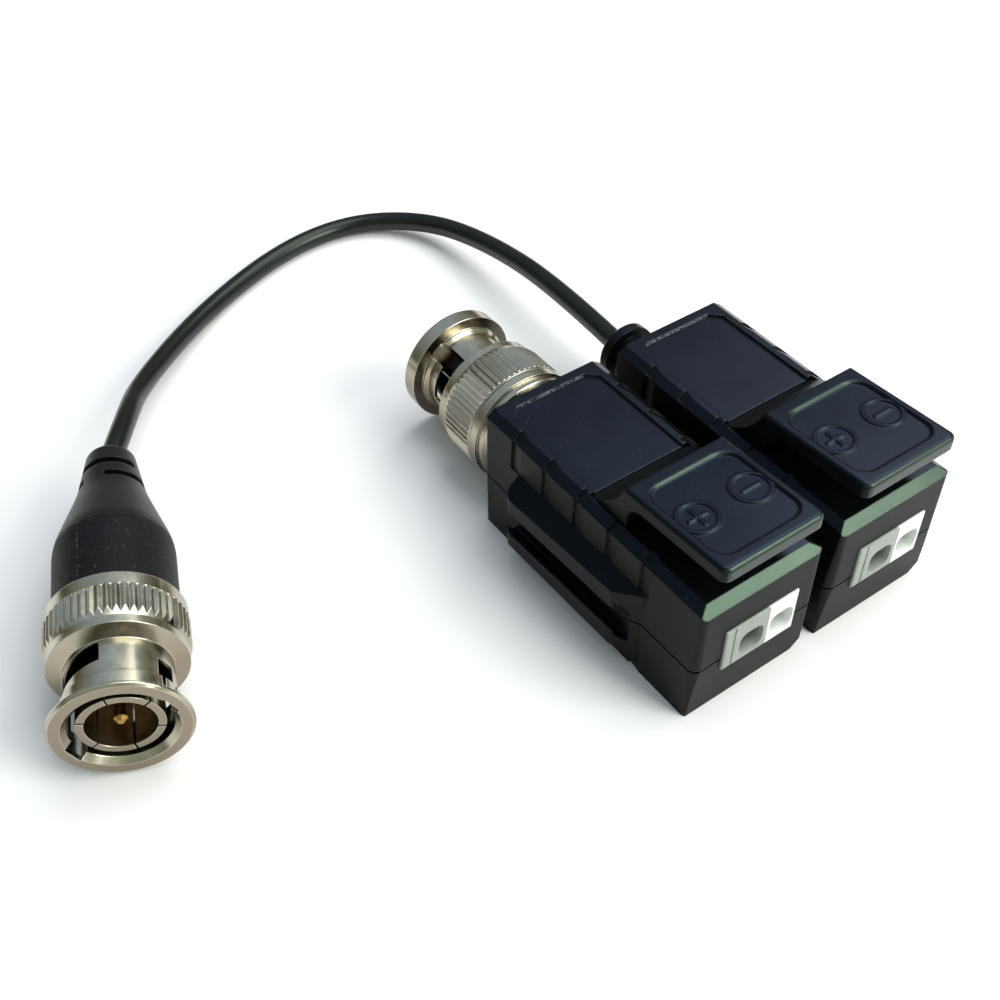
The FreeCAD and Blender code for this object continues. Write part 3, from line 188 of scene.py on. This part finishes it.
def soft_edges(tree, radius_mm):
    """The surface's direction with its edges rounded."""
    return add(tree, "Bevel", {"Radius": radius_mm * MM}, samples=6).outputs["Normal"]


def near_edge(tree, normal):
    """One at an edge that soft_edges has turned, and nought on a flat face."""
    flat = add(tree, "NewGeometry").outputs["True Normal"]
    same = add(tree, "VectorMath", {0: normal, 1: flat}, operation="DOT_PRODUCT")
    return rising(tree, same.outputs["Value"], 0.999, 0.9)


# The lever's recess with its pole marks, about the middle of each unit, and the heights between
# which the painted reflection on the lever's front face grows stronger.
UNIT_OFFSET = 9.0 * MM
MARKS_HALF = 4.6 * MM
MARKS_Y = FRONT_Y + 5.5 * MM
MARKS_LIFT = 0.9
LIP_HEIGHTS = (18.4 * MM, 20.2 * MM)
LIP_LIFTS = (0.3, 0.55)

# How far a face turns to the front, as the Y of its direction, to count as a slope or as that face.
SLOPE_WAY = (-0.3, -0.5)
LIP_WAY = (-0.7, -0.9)

# Painted reflection, its strength and its tint, from a wall (low) to a roof (high) by the Z of a
# face's direction: greenish on the slopes at the front, bluish on the roof.
ROOF_PAINTED_SHINE = [(0.3, "#5f5f5f"), (0.75, "#686868"), (0.97, "#a0a0a0")]
SLOPE_PAINTED_SHINE = [(0.3, "#5f5f5f"), (0.6, "#d2d2d2"), (0.85, "#d2d2d2"), (0.93, "#a0a0a0")]
ROOF_PAINTED_TINT = [(0.3, "#f3f6e4"), (0.95, "#a9c3f2")]
SLOPE_PAINTED_TINT = [(0.3, "#eff4d8"), (0.6, "#bfe6c9")]
WALL_ROUGH = 0.42
ROOF_ROUGH = 0.26

# Half widths of the dark seam and of the rubbed line along the panel, each without and with its
# faded edge.
SEAM_GAP = (0.08 * MM, 0.14 * MM)
PANEL_EDGE_Y = FRONT_Y + 33.4 * MM
PANEL_LINE = (0.02 * MM, 0.07 * MM)
DUST_GREY = "#3c403f"
RUBBED_GREY = "#85888a"


def over_marks(tree, at):
    """One over a lever's recess with its pole marks, and nought elsewhere."""
    beside = distance_from(tree, joined(tree, "ABSOLUTE", at["X"]), UNIT_OFFSET)
    along = distance_from(tree, at["Y"], MARKS_Y)
    return joined(tree, "MULTIPLY", falling(tree, beside, MARKS_HALF, MARKS_HALF + FEATHER),
                  falling(tree, along, MARKS_HALF, MARKS_HALF + FEATHER))


def lever_lift(tree, at, way):
    """How far a lever's faces look up, with its marks and its lip counted as looking up too, for the
    painted reflection and the roughness.
    """
    marks = joined(tree, "MULTIPLY", over_marks(tree, at), MARKS_LIFT)
    lip = joined(tree, "MULTIPLY", rising(tree, way["Y"], *LIP_WAY),
                 span(tree, at["Z"], *LIP_HEIGHTS, *LIP_LIFTS))
    return joined(tree, "MAXIMUM", joined(tree, "MAXIMUM", way["Z"], marks), lip)


def rubbed_line(tree, place, at, edge):
    """Pale dots where the rear edge of the roof's panel is rubbed."""
    on_line = falling(tree, distance_from(tree, at["Y"], PANEL_EDGE_Y), *PANEL_LINE)
    dots = spots(tree, place, 0.35, low=0.45, high=0.55, detail=2.0)
    return joined(tree, "MULTIPLY", joined(tree, "MULTIPLY", on_line, dots), edge)


def moulded_black(name, dark, pale, ease_mm, wear=0.0, marks=False):
    """Black plastic with a faint grain and a little dust, and walls matt from the tool's texture.

    The faces that look up are smoother. A painted reflection is strongest and greenish on the
    slopes at the front, bluish on the roof and weak on walls. A worn part is rubbed pale at its
    edges and in dots along the rear edge of its roof's panel, and dark in its seam's gap. A lever
    has the roof's painted reflection over its raised marks, and more of it at its front towards
    the top.
    """
    made, tree, shader = new_finish(name, IOR=1.52)
    place = object_place(tree)
    at = parts_of(tree, place)
    way = face_way(tree)
    normal = soft_edges(tree, ease_mm)
    lift = lever_lift(tree, at, way) if marks else way["Z"]
    slopes = rising(tree, way["Y"], *SLOPE_WAY)
    cloud = noise(tree, place, 6.0, detail=3.0)
    grey = spots(tree, place, 0.5, low=0.765, high=0.80, most=0.5)
    # Painted reflection: how strongly a face mirrors, set by which way it looks.
    painted_shine = blended(tree, slopes, ramp(tree, lift, ROOF_PAINTED_SHINE), ramp(tree, lift, SLOPE_PAINTED_SHINE))
    if wear:
        edge = near_edge(tree, normal)
        rubbed = spots(tree, place, 1.6, low=0.4, high=0.7, most=wear, detail=3.0)
        grey = joined(tree, "MAXIMUM", grey, joined(tree, "MULTIPLY", edge, rubbed))
    skin = blended(tree, grey, clouded(tree, cloud, dark, pale), paint(DUST_GREY))
    if wear:
        in_seam = falling(tree, distance_from(tree, at["Z"], SEAM_Z), *SEAM_GAP)
        skin = blended(tree, in_seam, skin, paint("#020202"))
        painted_shine = blended(tree, in_seam, painted_shine, paint("#000000"))
        skin = blended(tree, rubbed_line(tree, place, at, edge), skin, paint(RUBBED_GREY))
    # Painted reflection: the tint of what a face mirrors, set by which way it looks.
    painted_tint = blended(tree, slopes, ramp(tree, lift, ROOF_PAINTED_TINT), ramp(tree, lift, SLOPE_PAINTED_TINT))
    satin = joined(tree, "ADD", span(tree, lift, 0.3, 0.6, WALL_ROUGH, ROOF_ROUGH),
                   drifting(tree, cloud, -0.03, 0.04))
    feed(tree, shader, Base_Color=skin, Specular_IOR_Level=painted_shine, Specular_Tint=painted_tint, Roughness=satin)
    bumped(tree, shader, noise(tree, place, 0.24), 0.1, depth_mm=0.02, Normal=normal)
    return made


def finish_node(name, material):
    """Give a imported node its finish."""
    slots = nodes[name].data.materials
    slots.clear()
    slots.append(material)


# Black ABS of the case: matt walls, a satin roof, and edges that are rubbed; a painted
# reflection lies bluish on the roof and greenish on the slopes at the front.
case_abs = moulded_black("moulded_black_abs", "#08090b", "#0c0e11", ease_mm=0.28, wear=0.3)

for side in ("left", "right"):
    finish_node(side + "_lower_shell", case_abs)


# Circuit boards. Each carries the balun itself, a small ferrite core with a few turns of
# enamelled copper through its two holes. They are hidden once the case is shut.


def mottled(name, cell_mm, dark, pale, rough=None, **values):
    """A material clouded between two colours, and between two roughnesses where they are given."""
    made, tree, shader = new_finish(name, **values)
    cloud = noise(tree, object_place(tree), cell_mm)
    feed(tree, shader, Base_Color=clouded(tree, cloud, dark, pale))
    if rough:
        feed(tree, shader, Roughness=drifting(tree, cloud, *rough))
    return made


# Glass-fibre laminate under green solder mask, faintly mottled by its weave.
laminate, laminate_tree, laminate_shader = new_finish("solder_masked_laminate", Roughness=0.4)
laminate_weave = noise(laminate_tree, object_place(laminate_tree), 0.5)
laminate_green = ramp(laminate_tree, laminate_weave, [(0.35, "#14452a"), (0.65, "#1c5a37")])
feed(laminate_tree, laminate_shader, Base_Color=laminate_green)

# Sintered ferrite, a dull dark grey ceramic.
ferrite = mottled("sintered_ferrite", 0.2, "#2a2a2c", "#3b3b3d", Roughness=0.75)

# Copper wire under clear enamel.
copper = mottled("enamelled_copper_wire", 0.3, "#8a3c18", "#b45a2a", Metallic=1.0, Roughness=0.3)

for side in ("left", "right"):
    finish_node(side + "_circuit_board", laminate)
    finish_node(side + "_ferrite_core", ferrite)
    finish_node(side + "_winding", copper)


# Wire terminals. A white nylon block with two funnelled entries; behind each a sprung steel
# clamp pinches the bare wire against a tinned brass bar.

TERMINAL_SPLIT = 1.15 * MM
THROAT_DEPTH = 1.3 * MM


def white_nylon(name, unit_x):
    """White nylon; the plus half is painted grey as shade, and each entry is painted darker inwards
    as shade, deep in the plus entry and lighter in the minus one.
    """
    made, tree, shader = new_finish(name, Roughness=0.36, IOR=1.53)
    place = object_place(tree)
    at = parts_of(tree, place)
    depth = rising(tree, at["Y"], FRONT_Y, FRONT_Y + THROAT_DEPTH)
    middle = unit_x + TERMINAL_SPLIT
    minus_side = rising(tree, at["X"], middle - FEATHER, middle + FEATHER)
    # Painted shade: the plus half grey, the minus half white.
    skin = clouded(tree, noise(tree, place, 1.6, detail=3.0), "#858b84", "#90968e")
    face = blended(tree, minus_side, skin, paint("#e0e4e0"))
    # Painted shade inside each entry: near black in the plus one, pale grey in the minus one.
    throat_shade = blended(tree, minus_side, paint("#1c201b"), paint("#a0a59f"))
    feed(tree, shader, Base_Color=blended(tree, depth, face, throat_shade))
    bumped(tree, shader, noise(tree, place, 0.5), 0.1, depth_mm=0.03, Normal=soft_edges(tree, 0.2))
    return made


# Tinned brass strip of the contact bars, a soft greyish white metal.
tinned = mottled("tinned_brass_strip", 0.6, "#a9a698", "#c9c6ba", rough=(0.28, 0.4), Metallic=1.0)

# Bright rolled spring steel of the clamps.
spring = mottled("bright_spring_steel", 0.5, "#8f8f86", "#b3b2a8", rough=(0.22, 0.34), Metallic=1.0)

for side, unit_x in (("left", LEFT_X), ("right", RIGHT_X)):
    finish_node(side + "_terminal_block", white_nylon("white_nylon_" + side, unit_x))
    for pole in ("plus", "minus"):
        finish_node("%s_contact_bar_%s" % (side, pole), tinned)
        finish_node("%s_wire_clamp_%s" % (side, pole), spring)


# Upper shells. The upper halves snap over the lower ones; their roofs have a shallow panel
# behind the lever, worn pale along its rear edge.

for side in ("left", "right"):
    finish_node(side + "_upper_shell", case_abs)


# Press levers. Each is one ABS moulding that is pressed down at the front to open both clamps,
# with its two pole marks raised in a shallow recess.

# The same black ABS, a little bluer, with rounder edges and no wear, and the roof's painted
# reflection over its marks and at the top of its front.
lever_abs = moulded_black("moulded_lever_abs", "#090b0e", "#0e1217", ease_mm=0.4, marks=True)

for side in ("left", "right"):
    finish_node(side + "_press_lever", lever_abs)


# Coaxial plugs. Turned and milled brass with a bright nickel plate; the bayonet ring has a
# knurled grip, and inside it are the slotted outer contact, a plastic bead and a gilt pin.

PLUG_TURN = math.radians(67.6)
PLUG_RIM = Vector((-63.95 * MM, 0.26 * MM, 7.12 * MM))
LEFT_TURN = -math.pi / 2
LEFT_RIM = Vector((LEFT_X, 26.71 * MM, SEAM_Z))
# Between these radii, and from this run behind the rim, the space inside the ring is painted in
# shade.
SLEEVE_RADIUS = 4.05 * MM
RING_INSIDE = 4.95 * MM
SHADE_START = (2.0 * MM, 3.0 * MM)


def along_plug(tree, rim, turn):
    """Coordinates whose X runs back from a plug's rim along its axis."""
    shifted = add(tree, "VectorMath", {0: object_place(tree), 1: tuple(-rim)}, operation="ADD")
    laid = add(tree, "Mapping", {"Vector": shifted.outputs["Vector"], "Rotation": (0.0, 0.0, -turn)})
    return laid.outputs["Vector"]


def behind_ring(tree, place):
    """One in the space between the ring and the sleeve, behind the rim, and nought elsewhere."""
    run = parts_of(tree, place)
    squares = [joined(tree, "POWER", run[axis], 2.0) for axis in ("Y", "Z")]
    out = joined(tree, "SQRT", joined(tree, "ADD", *squares))
    past_sleeve = rising(tree, out, SLEEVE_RADIUS - FEATHER, SLEEVE_RADIUS)
    under_ring = falling(tree, out, RING_INSIDE, RING_INSIDE + FEATHER)
    between = joined(tree, "MULTIPLY", past_sleeve, under_ring)
    return joined(tree, "MULTIPLY", rising(tree, run["X"], *SHADE_START), between)


def nickel_plate(name, rim, turn):
    """Bright nickel over turned brass: fine rings from the lathe under the plate, a little haze.

    Faces that look down or aside are painted a darker brown than those that look up, as a painted
    reflection, and edges are painted pale as a painted highlight. The space between the ring and
    the sleeve is painted dark as shade.
    """
    made, tree, shader = new_finish(name, Metallic=1.0)
    place = along_plug(tree, rim, turn)
    normal = soft_edges(tree, 0.12)
    haze = noise(tree, place, 2.2, detail=3.0)
    rings = add(tree, "Mapping", {"Vector": place, "Scale": (1.0, 0.03, 0.03)}).outputs["Vector"]
    bright = clouded(tree, haze, "#b8b39c", "#c9c5b1")
    # Painted reflection: faces that look up are bright, the others a darker brown.
    painted_reflection_share = rising(tree, face_way(tree)["Z"], 0.0, 0.6)
    plate = blended(tree, painted_reflection_share, paint("#928776"), bright)
    # Painted highlight: the rounded edges are painted pale.
    plate = blended(tree, near_edge(tree, normal), plate, paint("#dedad0"))
    # Painted shade in the space between the ring and the sleeve.
    plate = blended(tree, behind_ring(tree, place), plate, paint("#2e2823"))
    feed(tree, shader, Base_Color=plate, Roughness=drifting(tree, haze, 0.17, 0.27))
    bumped(tree, shader, noise(tree, rings, 0.16), 0.1, depth_mm=0.01, Normal=normal)
    return made


left_nickel = nickel_plate("nickel_plate_left", LEFT_RIM, LEFT_TURN)
plug_nickel = nickel_plate("nickel_plate_pigtail", PLUG_RIM, PLUG_TURN)

# Moulded plastic of the beads that hold the pins, a warm brown in the shade of the plug.
bead = mottled("moulded_bead_plastic", 0.7, "#6f5238", "#86694b", Roughness=0.45)

# Thin gold over brass.
gilt = mottled("gold_plated_brass", 0.5, "#a17c3a", "#b8955a", rough=(0.2, 0.32), Metallic=1.0)

PLUGS = (("left_", "left_plug_body", left_nickel), ("plug_", "plug_body", plug_nickel))
for prefix, body, plate in PLUGS:
    finish_node(body, plate)
    finish_node(prefix + "outer_contact", plate)
    finish_node(prefix + "coupling_ring", plate)
    finish_node(prefix + "insulator", bead)
    finish_node(prefix + "centre_pin", gilt)
    finish_node(prefix + "retaining_ring", spring)
    finish_node(prefix + "spring_washer", spring)


# Pigtail: the ribbed relief in the right unit's rear wall, 2.6 mm coaxial cable in a smooth
# black PVC jacket, and the boot moulded over the far plug's crimp barrel.

# Black PVC of the relief, with the case's grain and a little paler.
relief_pvc = moulded_black("moulded_relief_pvc", "#0c0c0e", "#111114", ease_mm=0.28)
finish_node("right_strain_relief", relief_pvc)

# The route is in the millimetres of the part's drawing, and the shift carries it to this frame.
CORD_ROUTE = [(27.4, 57.4, 7.0), (28.0, 73.3, 4.6), (26.0, 85.8, 2.3), (17.7, 93.1, 1.4),
              (6.0, 93.0, 1.4), (-9.5, 86.7, 1.4), (-23.7, 74.9, 3.9), (-28.8, 66.5, 6.7)]
CORD_SHIFT = Vector((-16.9, -26.31, 0.0))
CORD_START = Vector((RIGHT_X, 16.29 * MM, SEAM_Z))
CORD_RADIUS = 1.3 * MM
CORD_STEPS = 24
CORD_FACETS = 8
BOOT_LENGTH = 37.3 * MM
PLUG_WAY = Vector((math.cos(PLUG_TURN), math.sin(PLUG_TURN), 0.0))
BOOT_END = PLUG_RIM + PLUG_WAY * BOOT_LENGTH

cord_line = bpy.data.curves.new("coax_jacket", "CURVE")
cord_line.dimensions = "3D"
cord_run = cord_line.splines.new("NURBS")
cord_points = [CORD_START] + [(Vector(point) + CORD_SHIFT) * MM for point in CORD_ROUTE] + [BOOT_END]
cord_run.points.add(len(cord_points) - 1)
for held, point in zip(cord_run.points, cord_points):
    held.co = (*point, 1.0)
cord_run.order_u = 3
cord_run.use_endpoint_u = True
cord_run.resolution_u = CORD_STEPS
cord_line.bevel_depth = CORD_RADIUS
cord_line.bevel_resolution = CORD_FACETS
cord_line.use_fill_caps = True
cord = bpy.data.objects.new("coax_jacket", cord_line)
bpy.context.scene.collection.objects.link(cord)

# Extruded PVC of the jacket: smooth and glossy, with the slow waviness of the extruder.
jacket, jacket_tree, jacket_shader = new_finish("extruded_pvc_jacket", Roughness=0.3, IOR=1.53,
                                                Specular_IOR_Level=0.42,
                                                Specular_Tint=paint("#dcebdd"))
jacket_place = object_place(jacket_tree)
jacket_cloud = noise(jacket_tree, jacket_place, 3.0)
feed(jacket_tree, jacket_shader, Base_Color=clouded(jacket_tree, jacket_cloud, "#0b0b0c", "#111113"))
bumped(jacket_tree, jacket_shader, noise(jacket_tree, jacket_place, 1.1), 0.15, depth_mm=0.05)
cord_line.materials.append(jacket)

GRIP_END = 22.6 * MM
GRIP_FADE = 0.12 * MM
PARTING_ANGLE = math.radians(66.0)
PARTING_SIDE = (0.0, math.sin(PARTING_ANGLE), -math.cos(PARTING_ANGLE))
PARTING_LINE = (0.03 * MM, 0.08 * MM)


def mixed(tree, share, first, second):
    """The first value at no share and the second at a full one."""
    return span(tree, share, 0.0, 1.0, first, second)


def boot_pvc(name):
    """Black PVC: a coarse matt grain with pale specks on the grip, and a smoother cone behind it.

    Along the grip runs a broken pale line where the two halves of the mould met.
    """
    made, tree, shader = new_finish(name, IOR=1.53)
    place = along_plug(tree, PLUG_RIM, PLUG_TURN)
    cone = rising(tree, parts_of(tree, place)["X"], GRIP_END, GRIP_END + GRIP_FADE)
    grip = falling(tree, cone, 0.0, 1.0)
    specks = spots(tree, place, 0.3, low=0.7, high=0.76, most=0.6)
    beside = add(tree, "VectorMath", {0: place, 1: PARTING_SIDE}, operation="DOT_PRODUCT")
    gap = joined(tree, "ABSOLUTE", beside.outputs["Value"])
    dots = spots(tree, place, 0.4, low=0.5, high=0.56, most=0.7)
    parting = joined(tree, "MULTIPLY", dots, falling(tree, gap, *PARTING_LINE))
    pale = joined(tree, "MULTIPLY", grip, joined(tree, "MAXIMUM", specks, parting))
    skin = clouded(tree, noise(tree, place, 2.2, detail=3.0), "#07070a", "#0e0e12")
    feed(tree, shader, Base_Color=blended(tree, pale, skin, paint("#5c5e62")),
         Roughness=mixed(tree, cone, 0.55, 0.42), Specular_IOR_Level=mixed(tree, cone, 0.2, 0.34))
    grain = joined(tree, "MULTIPLY", noise(tree, place, 0.3, detail=3.0), mixed(tree, cone, 1.0, 0.1))
    bumped(tree, shader, grain, 0.9, depth_mm=0.08, Normal=soft_edges(tree, 0.25))
    return made


finish_node("plug_boot", boot_pvc("moulded_boot_pvc"))

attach(cord, "right_unit")
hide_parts("coax_cord")


# The room: a plain pale table, soft lights, and a camera where the photograph was taken. The
# background is white for the camera alone, and the table fades to it away from the object.

TABLE_SIZE = 4.0
TABLE_FADE = (0.14, 0.4)
WHITE = "#ffffff"

bpy.ops.mesh.primitive_plane_add(size=TABLE_SIZE, location=(0.0, 0.0, 0.0))
table_top = bpy.context.object
table_top.name = "table_top"

# Matt white paint of the table.
table_paint, table_tree, table_shader = new_finish("plain_white_table", Roughness=0.8,
                                                   Base_Color=paint("#fbfafa"))
table_top.data.materials.append(table_paint)
table_reach = add(table_tree, "VectorMath", {0: object_place(table_tree)}, operation="LENGTH")
table_seen = add(table_tree, "LightPath").outputs["Is Camera Ray"]
table_fade = joined(table_tree, "MULTIPLY",
                    rising(table_tree, table_reach.outputs["Value"], *TABLE_FADE), table_seen)
table_white = add(table_tree, "Emission", {"Color": paint(WHITE)})
table_mixed = add(table_tree, "MixShader", {0: table_fade, 1: table_shader.outputs[0],
                                            2: table_white.outputs[0]})
table_tree.links.new(table_mixed.outputs[0], table_tree.nodes["Material Output"].inputs["Surface"])

# What the plating and the glossy plastic mirror: a plain wall on the side of the terminals, and
# on the other sides one that darkens towards its foot.
WALL_HEIGHTS = [(0.02, "#4a3c30"), (0.22, "#6d6a58"), (0.5, "#8f9aa0"), (0.8, "#a9b7cb")]
WALL_BEFORE = "#a5ab9c"

world = bpy.data.worlds.new("studio")
bpy.context.scene.world = world
world.use_nodes = True
sky = world.node_tree
sky_light = sky.nodes["Background"]
toward = parts_of(sky, add(sky, "TexCoord").outputs["Generated"])
facing = rising(sky, toward["Y"], -0.8, 0.3)
studio_walls = blended(sky, facing, paint(WALL_BEFORE), ramp(sky, toward["Z"], WALL_HEIGHTS))
sky_seen = add(sky, "LightPath").outputs["Is Camera Ray"]
sky.links.new(blended(sky, sky_seen, studio_walls, paint(WHITE)), sky_light.inputs["Color"])
sky_light.inputs["Strength"].default_value = 1.0

LIGHTS_AIM = (-0.01, 0.0, 0.01)


def soft_light(name, place, size, power, colour):
    """A large square lamp that faces the object."""
    lamp = bpy.data.lights.new(name, "AREA")
    lamp.size = size
    lamp.energy = power
    lamp.color = paint(colour)[:3]
    stand = bpy.data.objects.new(name, lamp)
    stand.location = place
    stand.rotation_mode = "QUATERNION"
    stand.rotation_quaternion = (Vector(LIGHTS_AIM) - Vector(place)).to_track_quat("-Z", "Y")
    bpy.context.scene.collection.objects.link(stand)


soft_light("front_window", place=(0.25, -0.45, 0.36), size=0.34, power=3.3, colour="#fbfdf8")
soft_light("ceiling_panel", place=(0.28, 0.02, 0.62), size=0.6, power=3.5, colour="#fffdfb")

CAMERA_PLACE = (-75.394 * MM, -77.200 * MM, 108.921 * MM)
CAMERA_TURN = -35.272
CAMERA_RISE = 45.699
CAMERA_ROLL = -0.534
NEAREST_SEEN = 5.0 * MM
SENSOR_WIDTH = 36.0
PHOTO_SIDE = 1000.0
PHOTO_FOCUS = 1308.43

camera_data = bpy.data.cameras.new("camera")
camera_data.sensor_width = SENSOR_WIDTH
camera_data.lens = PHOTO_FOCUS / PHOTO_SIDE * SENSOR_WIDTH
camera_data.clip_start = NEAREST_SEEN
camera = bpy.data.objects.new("camera", camera_data)
camera.matrix_world = (Matrix.Translation(CAMERA_PLACE)
                       @ Matrix.Rotation(math.radians(CAMERA_TURN), 4, "Z")
                       @ Matrix.Rotation(math.radians(90.0 - CAMERA_RISE), 4, "X")
                       @ Matrix.Rotation(math.radians(CAMERA_ROLL), 4, "Z"))
bpy.context.scene.collection.objects.link(camera)
bpy.context.scene.camera = camera
bpy.context.scene.view_settings.view_transform = "Standard"
